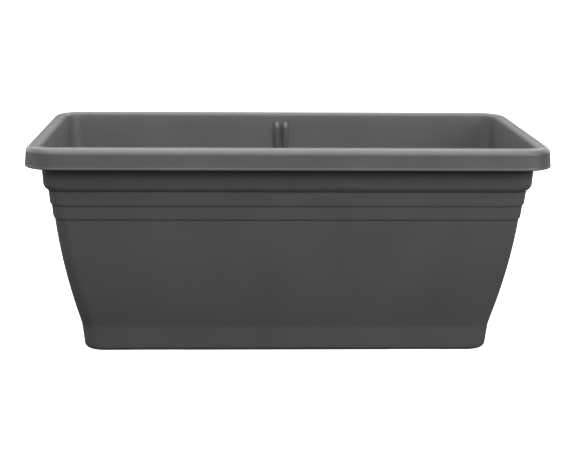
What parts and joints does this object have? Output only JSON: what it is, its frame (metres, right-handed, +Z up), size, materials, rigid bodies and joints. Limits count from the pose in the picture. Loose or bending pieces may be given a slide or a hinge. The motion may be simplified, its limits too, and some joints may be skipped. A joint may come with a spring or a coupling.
{
  "type": "self watering trough planter",
  "caption": "Long rectangular double-rimmed trough planter with stepped shoulders and plinth, over a water reserve with perforated floor, filling tube, float gauge, overflow and drain.",
  "frame": {"origin": "centre of the underside of the trough, on the ground", "axes": "+X along the trough to the right, +Y to the rear wall with the outlets, +Z up"},
  "size_m": [0.802, 0.402, 0.34],
  "materials": {
    "trough_plastic": "fine grain anthracite",
    "reserve_plastic": "plain black",
    "fitting_plastic": "plain grey",
    "black_rubber": "matt",
    "clear_plastic": "clear",
    "float_white": "foamed white",
    "indicator_red": "gloss red",
    "steel": "drawn wire"
  },
  "bodies": {
    "trough": {"trough_shell": "trough_plastic", "overflow_bush": "reserve_plastic", "overflow_seal": "black_rubber", "overflow_nut": "fitting_plastic", "overflow_screen": "fitting_plastic", "drain_bush": "reserve_plastic", "drain_seal": "black_rubber", "drain_nut": "fitting_plastic"},
    "drain_stopper": {"drain_plug": "black_rubber"},
    "separator": {"panel_left": "reserve_plastic", "panel_right": "reserve_plastic", "joiner_clips": "fitting_plastic", "pillars_left": "reserve_plastic", "pillars_right": "reserve_plastic", "filler_collar": "fitting_plastic"},
    "left_wick_cup": {"wick_cup_left": "reserve_plastic"},
    "right_wick_cup": {"wick_cup_right": "reserve_plastic"},
    "filler": {"filler_tube": "fitting_plastic", "filler_strainer": "reserve_plastic", "filler_funnel": "fitting_plastic", "filler_pin": "steel"},
    "cap": {"filler_cap": "reserve_plastic"},
    "gauge": {"gauge_chamber": "fitting_plastic", "gauge_stem": "fitting_plastic"},
    "window": {"gauge_window": "clear_plastic"},
    "float": {"gauge_float": "float_white", "gauge_rod": "steel", "gauge_tip": "indicator_red"}
  },
  "joints": [
    {"name": "separator_lift", "type": "slide", "parent": "trough", "child": "separator", "axis": [0, 0, 1], "range_m": [0, 0.3]},
    {"name": "left_cup_lift", "type": "slide", "parent": "separator", "child": "left_wick_cup", "axis": [0, 0, 1], "range_m": [0, 0.08]},
    {"name": "right_cup_lift", "type": "slide", "parent": "separator", "child": "right_wick_cup", "axis": [0, 0, 1], "range_m": [0, 0.08]},
    {"name": "filler_pull", "type": "slide", "parent": "separator", "child": "filler", "axis": [0, 0, 1], "range_m": [0, 0.3]},
    {"name": "cap_flip", "type": "hinge", "parent": "filler", "child": "cap", "pos_m": [-0.255, -0.1305, 0.3097], "axis": [1, 0, 0], "range_deg": [0, 110]},
    {"name": "gauge_pull", "type": "slide", "parent": "separator", "child": "gauge", "axis": [0, 0, 1], "range_m": [0, 0.3]},
    {"name": "window_pull", "type": "slide", "parent": "gauge", "child": "window", "axis": [0, 0, 1], "range_m": [0, 0.06]},
    {"name": "float_rise", "type": "slide", "parent": "gauge", "child": "float", "axis": [0, 0, 1], "range_m": [0, 0.03]},
    {"name": "drain_pull", "type": "slide", "parent": "trough", "child": "drain_stopper", "axis": [0, 1, 0], "range_m": [0, 0.03]}
  ]
}
